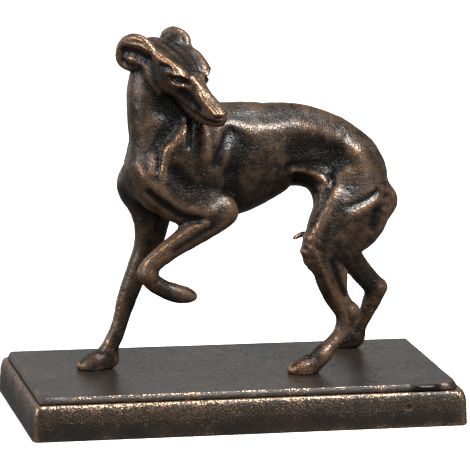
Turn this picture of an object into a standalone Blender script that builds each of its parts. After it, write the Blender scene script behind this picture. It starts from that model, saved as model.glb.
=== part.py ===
"""Cast iron greyhound that looks back over its shoulder, on a moulded rectangular plinth.

The dog faces -X and its left side faces -Y. The plinth stands on the origin, centred, and +Z is up.
"""

import math

import bmesh
import bpy
import numpy as np
import openvdb

# Plinth, in metres
PLINTH_LENGTH = 0.182
PLINTH_DEPTH = 0.081
PLINTH_HEIGHT = 0.0174
PLINTH_CORNER = 0.0025
FOOT_ROUND = 0.0008
OVOLO_LOW = 0.0080
OVOLO_HIGH = 0.0145
OVOLO_INSET = 0.0023
GROOVE_INSET = 0.0044
GROOVE_HEIGHT = 0.0003
SLAB_INSET = 0.0037
SLAB_BULGE = 0.0004
SLAB_ROUND = 0.0003

# Dog, in metres: its height from the soles to the tip of the higher ear, and the gap under the soles
DOG_HEIGHT = 0.1430
SOLE_GAP = 0.0003

# The dog is modelled in parts, and is this many parts high
PARTS_HIGH = 143.0
CLAY_STEP = 0.9
CLAY_LOW = (-69.0, -33.0, -3.0)
CLAY_HIGH = (76.0, 38.0, 148.0)
DOG_TRIANGLES = 8600

for old in list(bpy.data.objects):
    bpy.data.objects.remove(old, do_unlink=True)


class Clay:
    """A block of distances to the modelled surface, in parts, below zero inside the metal."""

    def __init__(self, low, high, step):
        self.step = step
        self.axes = [np.arange(a, b, step, dtype=np.float32) for a, b in zip(low, high)]
        self.field = np.full([len(a) for a in self.axes], 60.0, dtype=np.float32)

    def window(self, low, high):
        """Slices and open coordinate grids of the block between two corners."""
        cuts = []
        for axis, a, b in zip(self.axes, low, high):
            first, last = np.searchsorted(axis, (a, b))
            cuts.append(slice(int(first), int(last)))
        x, y, z = [axis[cut] for axis, cut in zip(self.axes, cuts)]
        return tuple(cuts), (x[:, None, None], y[None, :, None], z[None, None, :])

    def melt(self, cuts, shape, blend):
        """Join a shape to the clay, with a fillet of about the blend's size."""
        old = self.field[cuts]
        near = np.maximum(blend - np.abs(old - shape), 0.0) / blend
        self.field[cuts] = np.minimum(old, shape) - near * near * blend * 0.25


def through(stations, steps):
    """A smooth run of values through the stations, each station a row of numbers."""
    rows = np.array(stations, dtype=float)
    ends = np.vstack((2 * rows[0] - rows[1], rows, 2 * rows[-1] - rows[-2]))
    run = []
    for a, b, c, d in zip(ends, ends[1:], ends[2:], ends[3:]):
        for t in np.arange(steps) / steps:
            bend = (2 * a - 5 * b + 4 * c - d) * t * t + (3 * b - a - 3 * c + d) * t ** 3
            run.append(0.5 * (2 * b + (c - a) * t + bend))
    run.append(rows[-1])
    return np.array(run)


def limb(clay, stations, blend, side=(0.0, 1.0, 0.0), steps=4):
    """A bar of oval section: each station is x, y, z, its half width across and its half width to the side."""
    run = through(stations, steps)
    reach = run[:, 3:].max() + blend + 2 * clay.step
    cuts, _ = clay.window(run[:, :3].min(0) - reach, run[:, :3].max(0) + reach)
    bar = np.full(clay.field[cuts].shape, 60.0, dtype=np.float32)
    for start, end in zip(run, run[1:]):
        reach = max(start[3:].max(), end[3:].max()) + blend + 2 * clay.step
        low = np.minimum(start[:3], end[:3]) - reach
        high = np.maximum(start[:3], end[:3]) + reach
        span, grids = clay.window(low, high)
        along = end[:3] - start[:3]
        length = float(np.linalg.norm(along)) + 1e-6
        along = along / length
        aside = np.array(side) - np.dot(side, along) * along
        aside = aside / np.linalg.norm(aside)
        across = np.cross(along, aside)
        offset = [grid - centre for grid, centre in zip(grids, start[:3])]
        run_on = sum(o * a for o, a in zip(offset, along.astype(np.float32)))
        place = np.clip(run_on / length, 0.0, 1.0)
        past = run_on - place * length
        off_across = sum(o * a for o, a in zip(offset, across.astype(np.float32)))
        off_side = sum(o * a for o, a in zip(offset, aside.astype(np.float32)))
        half_across = start[3] + (end[3] - start[3]) * place
        half_side = start[4] + (end[4] - start[4]) * place
        half_end = np.minimum(half_across, half_side)
        first = (off_across / half_across) ** 2 + (off_side / half_side) ** 2 + (past / half_end) ** 2
        second = (off_across / half_across ** 2) ** 2 + (off_side / half_side ** 2) ** 2
        second = np.sqrt(second + (past / half_end ** 2) ** 2) + 1e-4
        first = np.sqrt(first)
        shape = first * (first - 1.0) / second
        inner = tuple(slice(s.start - c.start, s.stop - c.start) for s, c in zip(span, cuts))
        bar[inner] = np.minimum(bar[inner], shape)
    clay.melt(cuts, bar, blend)


def mass(clay, centre, halves, blend, lean=0.0, turn=0.0):
    """An egg-shaped muscle: half sizes along X, Y and Z, leant back about Y and turned about Z in degrees."""
    reach = max(halves) + blend + 2 * clay.step
    cuts, grids = clay.window(np.array(centre) - reach, np.array(centre) + reach)
    x, y, z = [grid - middle for grid, middle in zip(grids, centre)]
    c, s = math.cos(math.radians(turn)), math.sin(math.radians(turn))
    x, y = x * c + y * s, y * c - x * s
    c, s = math.cos(math.radians(lean)), math.sin(math.radians(lean))
    x, z = x * c - z * s, z * c + x * s
    a, b, h = halves
    first = np.sqrt((x / a) ** 2 + (y / b) ** 2 + (z / h) ** 2)
    second = np.sqrt((x / a ** 2) ** 2 + (y / b ** 2) ** 2 + (z / h ** 2) ** 2) + 1e-4
    clay.melt(cuts, first * (first - 1.0) / second, blend)


def stroke(clay, points, height, width, steps=4):
    """A soft ridge along a run of points, or a furrow where the height is below zero."""
    run = through(points, steps)
    reach = 2.4 * width
    cuts, grids = clay.window(run.min(0) - reach, run.max(0) + reach)
    nearest = np.full(clay.field[cuts].shape, 1e6, dtype=np.float32)
    for start, end in zip(run, run[1:]):
        along = end - start
        offset = [grid - s for grid, s in zip(grids, start)]
        place = sum(o * a for o, a in zip(offset, along)) / (np.dot(along, along) + 1e-9)
        place = np.clip(place, 0.0, 1.0)
        gap = sum((o - a * place) ** 2 for o, a in zip(offset, along))
        nearest = np.minimum(nearest, gap)
    clay.field[cuts] -= height * np.exp(-nearest / width ** 2)


class Head:
    """The head's own directions: forward along the muzzle, to the dog's left, and up."""

    def __init__(self, centre, facing, drop, tilt):
        a, b, c = math.radians(facing), math.radians(drop), math.radians(tilt)
        self.centre = np.array(centre)
        self.forward = np.array((math.cos(a) * math.cos(b), -math.sin(a) * math.cos(b), -math.sin(b)))
        level = np.array((math.sin(a), math.cos(a), 0.0))
        upright = np.cross(self.forward, level)
        self.left = level * math.cos(c) + upright * math.sin(c)
        self.up = upright * math.cos(c) - level * math.sin(c)

    def at(self, ahead, left, up):
        """The place of a point given in the head's directions."""
        return tuple(self.centre + ahead * self.forward + left * self.left + up * self.up)

    def bar(self, clay, stations, blend, side=(0.0, 1.0, 0.0), steps=4):
        """A bar given in the head's directions."""
        a, b, c = side
        aside = a * self.forward + b * self.left + c * self.up
        moved = [self.at(*row[:3]) + tuple(row[3:]) for row in stations]
        limb(clay, moved, blend, tuple(aside), steps)

    def line(self, clay, points, height, width):
        """A soft ridge or furrow given in the head's directions."""
        stroke(clay, [self.at(*point) for point in points], height, width)


def model_body(clay):
    """Trunk, neck, shoulders and rump."""
    limb(clay, [
        (-38, 2, 78.5, 10, 8), (-32, 2, 84, 17.2, 12), (-21, 2, 87.5, 22.5, 13.5), (-6, 2, 87.3, 23.9, 14),
        (8, 2.5, 90.2, 21.2, 13.5), (18, 3, 92.8, 17.7, 12), (27, 3, 92.3, 17.0, 10.5), (36, 3.5, 90.7, 15.5, 10),
        (45.5, 4, 86, 14.2, 10.5), (52.5, 4, 80, 12.3, 9.5), (56, 4, 74, 9.3, 7)], 3.0)
    limb(clay, [
        (-26.4, 1.5, 90, 17, 11), (-31.0, 2, 102, 15.0, 10.5), (-34.6, 4, 113, 12.0, 9),
        (-34.3, 6.3, 121, 10.6, 8.2), (-32.6, 7.4, 128, 8.8, 7.6)], 4.0)
    mass(clay, (-39.3, 9.5, 76.5), (9.2, 6, 10.5), 4.0, lean=8)
    mass(clay, (-36, -5, 79), (8, 7, 11), 4.0, lean=-10)


def model_forelegs(clay):
    """The right foreleg stands and the left one is raised and bent."""
    limb(clay, [
        (-33.5, 8, 77, 11.2, 6.5), (-34.0, 8, 68, 9.8, 6.0), (-33.9, 8, 60, 7.4, 5.5), (-35.4, 7.5, 50, 5.9, 4.8),
        (-38.9, 7, 41.5, 4.9, 4.3), (-42.0, 6.5, 34.2, 4.3, 4.0), (-44.1, 6.3, 28, 4.0, 3.8),
        (-45.9, 6, 21.5, 3.4, 3.3), (-48.0, 5.6, 14.5, 3.3, 3.3), (-51.2, 5.2, 8.0, 3.4, 3.6)], 4.0)
    limb(clay, [
        (-50.5, 5.2, 4.2, 4.2, 3.8), (-55.5, 5, 3.2, 4.8, 4.8), (-60, 4.8, 2.0, 4.2, 4.6),
        (-61.6, 4.6, 1.4, 2.9, 3.4)], 2.5)
    mass(clay, (-20, -8.5, 86), (15, 5.5, 18), 4.0, lean=-12)
    limb(clay, [(-34, -7.5, 77, 8.5, 5), (-24, -9.2, 72, 9.4, 5.5), (-9, -11, 69.2, 6.6, 5)], 3.0)
    limb(clay, [
        (-7.3, -11, 68.2, 5.4, 4.8), (-13, -12, 64.8, 5.8, 5), (-22.7, -12, 58.7, 5.2, 4.6),
        (-31, -12, 53.0, 4.3, 4.1), (-38, -12, 46.9, 3.9, 3.9), (-39.7, -12, 43.6, 3.8, 4.0)], 3.0)
    limb(clay, [
        (-39.5, -12, 43.5, 3.8, 4.0), (-37.2, -11.5, 39.9, 3.8, 3.8), (-32.8, -11, 36.9, 3.7, 3.7),
        (-27.3, -10.5, 34.7, 4.0, 4.2), (-22.9, -10, 33.7, 3.6, 3.9), (-20.4, -10, 33.2, 2.5, 3.0)], 2.0)


def model_hind_legs(clay):
    """Both hind legs are well bent, with the left one in front."""
    limb(clay, [
        (48, -1, 88, 10, 7), (49.5, -5, 74, 14.2, 7.5), (46.9, -7.5, 65.6, 15.8, 7.5), (40.3, -9, 57.9, 13.3, 7),
        (34.2, -10, 50.8, 9.3, 6), (37.0, -10, 43.5, 6.6, 5.2), (38.1, -10, 38.8, 6.1, 4.6),
        (40.1, -9.7, 32.8, 5.1, 4), (43.2, -9.3, 27.2, 4.4, 3.6), (46.2, -9, 23.5, 4.0, 3.4)], 4.0)
    limb(clay, [
        (43.0, -9.5, 40.5, 2.7, 2.5), (43.6, -9.3, 33, 2.0, 2), (45.4, -9.2, 28.5, 2.0, 2),
        (49.2, -9, 24.8, 1.9, 2.2)], 2.5)
    limb(clay, [
        (47.5, -9, 24, 3.6, 3.4), (45.5, -9.3, 20, 3.6, 3.4), (43.6, -10, 15.5, 3.2, 3.2),
        (39.8, -11, 11.5, 3.0, 3.4), (35, -12, 7.6, 3.5, 4.0)], 2.5)
    limb(clay, [
        (36, -12, 7, 3.2, 3.8), (30, -12.4, 3.2, 4.9, 4.8), (25, -12.4, 1.9, 4.2, 4.6),
        (23.2, -12.2, 1.4, 3.0, 3.3)], 2.5)
    limb(clay, [(35, 1, 82, 7, 7), (36.6, -3, 70, 4.8, 6), (35.8, -6, 60, 6, 5)], 4.0)
    limb(clay, [
        (50, 8, 88, 10, 6), (52, 10.5, 72, 13, 7), (47, 12.5, 59, 11, 6.5), (46.5, 14.5, 50, 7, 5.5),
        (53.2, 16.5, 42.5, 5.8, 4.5), (57.8, 17.5, 36.6, 4.7, 4.2), (62.0, 18, 31.6, 4.3, 3.9),
        (66.0, 18.5, 27.2, 3.9, 3.5)], 4.0)
    limb(clay, [(57, 17.5, 39.5, 2.2, 2.2), (64, 18, 33, 2.0, 2.2), (69.0, 18.5, 27.6, 2.3, 2.3)], 3.0)
    limb(clay, [
        (67.8, 18.8, 27, 3.6, 3.4), (65.7, 19.5, 22, 4.1, 3.4), (64.2, 21, 16.5, 3.3, 3.1),
        (62.0, 23, 10.5, 3.2, 3.1), (60.5, 24.5, 6.0, 3.4, 3.6)], 2.5)
    limb(clay, [
        (60.5, 24.5, 4.2, 4.2, 3.8), (57, 26, 3.2, 4.5, 4.7), (54, 27, 2.0, 4.0, 4.5),
        (52.8, 27.2, 1.4, 2.6, 3.2)], 2.5)


def model_tail(clay):
    """The tail hangs from the rump, passes between the thighs and shows its tip in front of them."""
    limb(clay, [
        (56, 4, 82, 4.5, 4.5), (62.3, 4, 75.6, 3.0, 3.4), (67.0, 4, 69.3, 3.0, 3.0), (65.5, 4, 63.5, 2.7, 2.7),
        (59.5, 3.5, 57.5, 2.4, 2.4), (50, 3, 53.5, 2.0, 2.0), (37, 1, 53.5, 1.6, 1.6),
        (29, -2, 56.1, 1.2, 1.2), (24.2, -3.6, 55.0, 0.9, 0.9)], 2.0)


def model_ear(clay, head, flank, flap, rim):
    """One folded ear: its flap, the rolled rim and the hollow inside it. The flank is -1 or 1."""
    head.bar(clay, [(a, flank * b, c, tall, thick) for a, b, c, tall, thick in flap], 2.0, side=(0.5, flank, 0))
    head.bar(clay, [(a, flank * b, c, thick, thick) for a, b, c, thick in rim], 1.2)
    hollow = [(-12.0, 13.4, 1.6), (-9.2, 13.0, 2.5), (-6.0, 12.0, 2.6), (-2.6, 11.0, 2.4)]
    head.line(clay, [(a, flank * b, c) for a, b, c in hollow], -4.4, 1.7)


def model_head(clay):
    """The head is turned back over the left shoulder, with the ears folded."""
    head = Head((-30.0, 1.8, 127.6), 58.0, 18.0, 4.0)
    head.bar(clay, [
        (-10, 0, -0.8, 6.6, 7.6), (-2, 0, -1, 8.4, 9.2), (6, 0, -2.8, 9.4, 8.8), (12.5, 0, -5.1, 8.8, 6.8),
        (18, -0.3, -7.2, 8.1, 4.5), (22.5, -0.3, -8.0, 7.3, 3.9), (27, 0, -8.5, 6.2, 3.8), (31, 0, -8.5, 5.0, 3.5),
        (33.3, 0, -8.3, 3.9, 3.1)], 4.0)
    for flank, out in ((-1, 0.0), (1, 0.6)):
        head.bar(clay, [
            (-6, flank * 7.4, 4.8, 2.4, 2.2), (2, flank * 7.6, 4.0, 2.8, 2.6),
            (8, flank * (7.6 + out), 3.4, 2.9, 2.9), (12.8, flank * (6.6 + out), 2.2, 2.8, 2.8),
            (15.6, flank * (5.2 + 1.5 * out), 0.2, 2.0 + out, 2.1)], 3.5)
        head.bar(clay, [
            (0, flank * 5.5, -4, 5, 4.0), (8, flank * 5.5, -3, 4.5, 3.6), (14, flank * 4.3, -2.4, 3, 2.4)], 3.5)
    model_ear(clay, head, -1, [(-5, 8.0, 2.4, 6.0, 3.6), (-10, 10.0, 2.2, 7.2, 3.4), (-14, 11.2, 1.4, 5.2, 2.8)], [
        (-2.5, 8.8, 6.4, 1.6), (-6.5, 9.8, 8.2, 1.8), (-10.5, 10.8, 8.0, 1.9), (-13.7, 11.8, 5.8, 1.9),
        (-15.8, 12.2, 2.2, 1.9), (-15.6, 12.4, -1.8, 1.9), (-13.6, 12.2, -4.5, 1.8), (-10, 11, -4.8, 1.7),
        (-6.5, 10, -3.2, 1.4)])
    model_ear(clay, head, 1, [(-4, 8.0, 3.4, 6.0, 3.2), (-8.5, 9.0, 3.4, 6.8, 2.8), (-12, 10, 2, 5.0, 2.4)], [
        (-0.2, 8.8, 6.4, 1.6), (-2.6, 9.7, 8.2, 1.9), (-6.5, 9.6, 8.9, 1.9), (-10.5, 9.4, 7.4, 1.9),
        (-13.6, 9.8, 4.8, 1.9), (-14.6, 10.8, 1.4, 1.9), (-13.4, 11.2, -2.2, 1.8), (-10, 10.4, -3.6, 1.6)])
    for flank, cut in ((-1, 1.0), (1, 0.6)):
        brow = [(-4, 9.6, 6.6), (2, 9.4, 6.2), (8, 8.6, 5.6), (12, 7.4, 4.8), (15, 5.4, 3.2)]
        head.line(clay, [(a, flank * b, c) for a, b, c in brow], 0.7, 1.3)
        temple = [(6.0, 10.0, 3.6), (10.0, 9.8, 4.2)]
        head.line(clay, [(a, flank * b, c) for a, b, c in temple], -1.3 * cut, 1.3)
        socket = [(12.0, 9.2, 0.5), (14.0, 8.7, 0.8), (15.8, 7.4, 0.9), (17.4, 5.8, 0.4)]
        head.line(clay, [(a, flank * b, c) for a, b, c in socket], -2.4 * cut, 1.4)
        head.bar(clay, [(13.2, flank * 7.0, 0.5, 1.1, 1.3), (14.8, flank * 6.3, 0.6, 1.1, 1.3)], 0.5)
        lower_lid = [(11.0, 8.7, -0.4), (13.6, 8.4, -1.8), (16.6, 6.7, -1.3)]
        head.line(clay, [(a, flank * b, c) for a, b, c in lower_lid], 0.5 * cut, 1.0)
        under_eye = [(16.5, 6.4, -4.0), (18.3, 5.2, -5.2), (21.0, 4.4, -6.8), (24.0, 4.0, -8.0)]
        head.line(clay, [(a, flank * b, c) for a, b, c in under_eye], -1.2, 1.9)
        bridge = [(17, 2.4, 2.0), (21, 2.4, -0.1), (25, 3.0, -3.0), (29, 3.0, -4.7), (33.4, 2.6, -6.0)]
        head.line(clay, [(a, flank * b, c) for a, b, c in bridge], 0.6, 1.2)
        lip = [(17, 5.4, -9.6), (22.7, 4.0, -10.6), (28, 3.5, -10.6), (32.5, 3.0, -9.9)]
        head.line(clay, [(a, flank * b, c) for a, b, c in lip], -0.7, 1.0)
    head.line(clay, [(-4, 0, 7.4), (6, 0, 6.4), (13, 0, 4.0)], -0.6, 1.8)


def carve(clay):
    """The carving on the body that shows from a step away."""
    stroke(clay, [(-34, -7, 110), (-31.5, -8.5, 105), (-33, -9, 99)], -1.6, 4.5)
    stroke(clay, [(-24.5, -9, 105), (-27.1, -11.4, 100.4), (-32.4, -11.6, 94.4)], 0.6, 2.0)
    stroke(clay, [(-22.6, -8.5, 106), (-23.3, -11.6, 101.2), (-23.9, -13.1, 96.1)], -1.6, 1.1)
    stroke(clay, [(-16.8, -9.2, 103.9), (-16.5, -12.4, 98.4), (-16.7, -13.7, 92.4)], 0.9, 2.2)
    stroke(clay, [(-6.2, -9.3, 101.3), (-8.7, -11.7, 96.8), (-11.0, -13.2, 92.2), (-12.2, -13.7, 88.7)], -1.0, 2.0)
    stroke(clay, [(-3.5, -10, 99.5), (-2.0, -11.5, 93.8), (-5.0, -12.5, 86)], -1.0, 4.0)
    stroke(clay, [(-37.9, -9.0, 91.1), (-38.2, -11.1, 84.9)], 0.6, 1.5)
    stroke(clay, [(-31.9, -11.3, 95.9), (-33.5, -11.7, 90.3), (-34.3, -12.6, 82.3)], 0.8, 1.7)
    stroke(clay, [(-35.6, -10.5, 93), (-36.4, -11.5, 86)], -0.7, 1.3)
    stroke(clay, [(-29.5, -13, 86), (-25.1, -13.9, 80.3)], -0.8, 3.0)
    stroke(clay, [
        (-43.7, -6, 87.3), (-41.5, -9.6, 83.9), (-38.5, -11.5, 80.5), (-35.1, -12.9, 78.0), (-31.1, -13.6, 74.5),
        (-26.6, -14.4, 71.8), (-22.6, -15, 70.2), (-18.1, -15.5, 69.5), (-14.5, -16, 69.9)], 0.9, 1.5)
    stroke(clay, [(-39.3, -11.4, 77), (-33.3, -12.9, 72), (-26.4, -14.1, 67.6), (-19.2, -15.5, 65.6)], -0.8, 1.5)
    stroke(clay, [(-6.1, -12.5, 83.8), (-5.6, -11.7, 77.4)], -1.0, 3.0)
    stroke(clay, [(24, -8, 93), (33, -6.5, 93), (40, -6.5, 90)], -1.6, 6.0)
    stroke(clay, [
        (-16, -9.5, 104.5), (-9, -9.3, 104.2), (-1.9, -8.6, 103), (5.5, -8.8, 101.6), (12.9, -7.9, 102),
        (19.6, -6.8, 102.8), (26.1, -6, 102.2), (32.8, -5.4, 100.4), (37.6, -5.2, 98.4), (43.5, -5.8, 95),
        (48.2, -7.8, 90.8), (50.6, -9, 86)], 0.6, 3.6)
    stroke(clay, [(22, -8, 84), (30, -7, 82), (35, -8, 79), (37, -8, 74)], 0.8, 1.6)
    stroke(clay, [(19, -8.1, 86), (28, -7.2, 87), (35.5, -6.2, 85.5)], -0.7, 1.8)
    stroke(clay, [
        (43.8, -9.1, 83.3), (41.2, -8.8, 80.5), (38.9, -11, 76.3), (36.8, -12.9, 71.3), (34.2, -13.7, 66.5),
        (31.4, -14, 61.6), (28.6, -13.9, 57)], 1.0, 1.6)
    stroke(clay, [(38, -7.9, 79.8), (34.4, -11, 74.2), (31.2, -11.9, 69.1), (28.2, -12.1, 63.3)], -0.8, 1.6)
    stroke(clay, [(44.5, -14.5, 70), (50.3, -13.4, 72), (53.9, -12.4, 73.8), (56.7, -11.3, 75.6)], -1.0, 1.2)
    stroke(clay, [(46.2, -14.7, 67.7), (50.7, -13.7, 69.5), (54.8, -12.7, 71.3)], 0.9, 1.7)
    stroke(clay, [(56.2, -12.8, 67.5), (55, -13.3, 61.7)], -1.0, 2.6)
    stroke(clay, [
        (28.5, -14.5, 53), (30.9, -15.5, 49), (34.5, -14.8, 41.5), (38.5, -13.8, 34), (42.4, -12.9, 27.3),
        (44.9, -12.8, 20.7)], 0.5, 1.2)
    stroke(clay, [(37, -15.5, 47.1), (40.7, -14.1, 39.1), (44.2, -12.5, 32.5)], -0.8, 1.3)
    stroke(clay, [
        (-40.8, -14.5, 48.8), (-36, -15, 53.3), (-29.2, -15.5, 58.4), (-23.3, -16, 62), (-17, -16.6, 65)], 0.5, 1.3)
    stroke(clay, [(-29.5, -16.2, 54), (-21.5, -16.6, 59.4), (-14, -16.8, 63.4)], -0.4, 1.4)


def clay_dog():
    """The whole dog as clay, with its soles cut flat at zero height."""
    clay = Clay(CLAY_LOW, CLAY_HIGH, CLAY_STEP)
    model_body(clay)
    model_forelegs(clay)
    model_hind_legs(clay)
    model_tail(clay)
    model_head(clay)
    carve(clay)
    clay.field = np.maximum(clay.field, -clay.axes[2][None, None, :])
    return clay


def cast(clay):
    """The clay's surface as points, in parts, and faces."""
    band = np.clip(clay.field / clay.step, -3.0, 3.0).astype(np.float32)
    grid = openvdb.FloatGrid(3.0)
    grid.copyFromArray(band, tolerance=0.0)
    points, _, faces = grid.convertToPolygons(isovalue=0.0, adaptivity=0.0)
    points = points * clay.step + np.array([axis[0] for axis in clay.axes])
    low = points[:, 2] < 0.4 * clay.step
    points[low, 2] = 0.0
    return points, faces


def finish(name, mesh, colour, roughness, metallic):
    """Put a mesh in the scene as a named object with its own material."""
    piece = bpy.data.objects.new(name, mesh)
    statue.objects.link(piece)
    material = bpy.data.materials.new(name + " iron")
    material.use_nodes = True
    shader = material.node_tree.nodes["Principled BSDF"]
    shader.inputs["Base Color"].default_value = (*colour, 1.0)
    shader.inputs["Roughness"].default_value = roughness
    shader.inputs["Metallic"].default_value = metallic
    mesh.materials.append(material)
    return piece


def make_dog():
    """The dog, with fewer faces than its clay and at its real size on the plinth."""
    points, faces = cast(clay_dog())
    unit = DOG_HEIGHT / PARTS_HIGH
    places = points * unit + np.array((0.0, 0.0, PLINTH_HEIGHT + SOLE_GAP))
    mesh = bpy.data.meshes.new("greyhound")
    mesh.from_pydata(places.tolist(), [], faces.tolist())
    mesh.update()
    dog = finish("greyhound", mesh, (0.045, 0.030, 0.022), 0.42, 0.85)
    fewer = dog.modifiers.new("fewer faces", "DECIMATE")
    fewer.ratio = DOG_TRIANGLES / (2.0 * len(faces))
    return dog


def plinth_profile():
    """Inset and height of the plinth's moulding, from the bottom up."""
    profile = [(FOOT_ROUND, 0.0)]
    for turn in (30, 60, 90):
        angle = math.radians(turn)
        profile.append((FOOT_ROUND * (1 - math.sin(angle)), FOOT_ROUND * (1 - math.cos(angle))))
    for turn in (0, 22, 45, 68, 90):
        angle = math.radians(turn)
        rise = (OVOLO_HIGH - OVOLO_LOW) * math.sin(angle)
        profile.append((OVOLO_INSET * (1 - math.cos(angle)), OVOLO_LOW + rise))
    bead_low = OVOLO_HIGH + GROOVE_HEIGHT
    bead_high = PLINTH_HEIGHT - SLAB_ROUND
    profile.append((GROOVE_INSET, OVOLO_HIGH))
    profile.append((GROOVE_INSET, bead_low))
    for part in (0.0, 0.25, 0.5, 0.75, 1.0):
        bulge = SLAB_BULGE * math.sin(math.pi * part)
        profile.append((SLAB_INSET - bulge, bead_low + (bead_high - bead_low) * part))
    profile.append((SLAB_INSET + SLAB_ROUND, PLINTH_HEIGHT))
    return profile


def ring(shape, inset, height):
    """A level ring of points round the plinth, with rounded corners."""
    points = []
    radius = max(PLINTH_CORNER - inset * 0.3, PLINTH_CORNER * 0.4)
    for corner, (sign_x, sign_y) in enumerate(((1, 1), (-1, 1), (-1, -1), (1, -1))):
        middle_x = sign_x * (PLINTH_LENGTH / 2 - inset - radius)
        middle_y = sign_y * (PLINTH_DEPTH / 2 - inset - radius)
        for turn in (0, 30, 60, 90):
            angle = math.radians(corner * 90 + turn)
            spot = (middle_x + radius * math.cos(angle), middle_y + radius * math.sin(angle), height)
            points.append(shape.verts.new(spot))
    return points


def make_plinth():
    """The plinth, a loft of level rings up its moulding."""
    shape = bmesh.new()
    rings = [ring(shape, inset, height) for inset, height in plinth_profile()]
    for lower, upper in zip(rings, rings[1:]):
        for first in range(len(lower)):
            second = (first + 1) % len(lower)
            shape.faces.new((lower[first], lower[second], upper[second], upper[first]))
    shape.faces.new(list(reversed(rings[0])))
    shape.faces.new(rings[-1])
    mesh = bpy.data.meshes.new("plinth")
    shape.to_mesh(mesh)
    shape.free()
    return finish("plinth", mesh, (0.040, 0.030, 0.025), 0.5, 0.8)


statue = bpy.data.collections.new("greyhound statue")
bpy.context.scene.collection.children.link(statue)
make_plinth()
make_dog()
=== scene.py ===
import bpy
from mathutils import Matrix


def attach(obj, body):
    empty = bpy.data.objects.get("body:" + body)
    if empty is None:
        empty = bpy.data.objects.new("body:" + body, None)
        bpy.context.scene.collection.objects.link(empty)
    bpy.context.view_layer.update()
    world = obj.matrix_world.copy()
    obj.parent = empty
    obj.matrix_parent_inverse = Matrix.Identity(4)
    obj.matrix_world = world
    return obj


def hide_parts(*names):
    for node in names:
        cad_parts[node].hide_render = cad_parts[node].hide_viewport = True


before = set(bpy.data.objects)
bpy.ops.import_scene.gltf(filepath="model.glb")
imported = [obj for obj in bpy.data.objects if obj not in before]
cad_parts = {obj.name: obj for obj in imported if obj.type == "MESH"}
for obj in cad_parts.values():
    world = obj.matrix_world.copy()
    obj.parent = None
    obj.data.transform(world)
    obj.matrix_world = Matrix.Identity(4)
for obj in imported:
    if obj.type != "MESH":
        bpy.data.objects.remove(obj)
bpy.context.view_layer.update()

import math
from itertools import product

import bpy
import numpy as np
import openvdb
from mathutils import Matrix

# Plinth: one rectangular iron block, sand cast with a quarter-round edge, a groove and a small bead.
# It is painted dark brown and rubbed with bronze along its edges. Near the right end of the front a
# lump of iron fills the bead and the groove, where the sand of the mould had crumbled.

PLINTH_LENGTH = 182.0
PLINTH_DEPTH = 81.0
PLINTH_HEIGHT = 17.4
PLINTH_CORNER = 2.5
FOOT_ROUND = 0.8
SIDE_LEAN = 0.4
OVOLO_LOW = 8.0
OVOLO_HIGH = 14.5
OVOLO_INSET = 2.3
GROOVE_INSET = 4.4
GROOVE_HEIGHT = 0.35
BEAD_FOOT = 3.2
BEAD_HEAD = 4.1
BEAD_TOP = 17.1
RING_SPACING = 0.75
TOP_SPACING = 1.0
LEAST_CORNER = 0.8
WORN_CORNER = 6.0
FLAW = (73.0, -38.0, 16.0)
PIT = (65.0, -38.4, 8.6)
MILLIMETRE = 0.001


def lumps(places, size, seed):
    """Smooth random heights between -1 and 1 over the places, with hills of about the given size."""
    table = np.random.default_rng(seed).uniform(-1.0, 1.0, (32, 32, 32))
    spot = places / size + 500.0
    cell = np.floor(spot).astype(int)
    part = spot - cell
    part = part * part * (3.0 - 2.0 * part)
    height = np.zeros(len(places))
    for corner in product((0, 1), repeat=3):
        share = np.prod(np.where(corner, part, 1.0 - part), axis=1)
        x, y, z = ((cell + corner) % 32).T
        height += share * table[x, y, z]
    return height


def plinth_moulding():
    """Rows of inset, height, rub and sandiness up the plinth's edge and across its top."""
    rows = []
    for turn in range(0, 91, 15):
        angle = math.radians(turn)
        inset = FOOT_ROUND * (1 - math.sin(angle))
        rows.append((inset, FOOT_ROUND * (1 - math.cos(angle)), 0.75 - turn / 180, 0.3))
    for height in np.linspace(FOOT_ROUND, OVOLO_LOW, 12)[1:-1]:
        rub = max(0.0, 0.25 - 0.2 * (height - FOOT_ROUND))
        sand = 0.3 + 0.8 * np.clip((height - 4.0) / 3.5, 0.0, 1.0)
        rows.append((SIDE_LEAN * height / OVOLO_LOW, height, rub, sand))
    for turn in range(0, 91, 6):
        angle = math.radians(turn)
        inset = SIDE_LEAN + (OVOLO_INSET - SIDE_LEAN) * (1 - math.cos(angle))
        rise = (OVOLO_HIGH - OVOLO_LOW) * math.sin(angle)
        rub = 0.30 + 0.80 * max(0.0, (turn - 48) / 42) ** 1.5
        rows.append((inset, OVOLO_LOW + rise, rub, 1.0))
    groove_top = OVOLO_HIGH + GROOVE_HEIGHT
    # Rub below zero in the groove turns into dark paint and painted shade there
    rows += [
        (OVOLO_INSET + 0.4, OVOLO_HIGH + 0.02, 0.7, 0.6),
        (GROOVE_INSET - 0.5, OVOLO_HIGH - 0.05, -0.2, 0.3),
        (GROOVE_INSET, OVOLO_HIGH, -0.3, 0.3),
        (GROOVE_INSET, groove_top, -0.3, 0.3)]
    for part in np.linspace(0.0, 1.0, 8):
        inset = BEAD_FOOT + (BEAD_HEAD - BEAD_FOOT) * part ** 1.6
        height = groove_top + (BEAD_TOP - groove_top) * part
        rows.append((inset, height, 0.02 + 0.25 * part ** 3, 0.5))
    for turn in (30, 60, 90):
        angle = math.radians(turn)
        rise = (PLINTH_HEIGHT - BEAD_TOP) * math.sin(angle)
        rows.append((BEAD_HEAD + 0.35 * (1 - math.cos(angle)), BEAD_TOP + rise, 0.4, 0.35))
    rows.append((BEAD_HEAD + 0.7, PLINTH_HEIGHT, 0.15, 0.25))
    rows.append((BEAD_HEAD + 1.2, PLINTH_HEIGHT, 0.0, 0.15))
    for inset in np.arange(BEAD_HEAD + 2.0, PLINTH_DEPTH / 2 - 1.5, TOP_SPACING):
        rows.append((inset, PLINTH_HEIGHT, -0.1, 0.12))
    return rows


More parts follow.
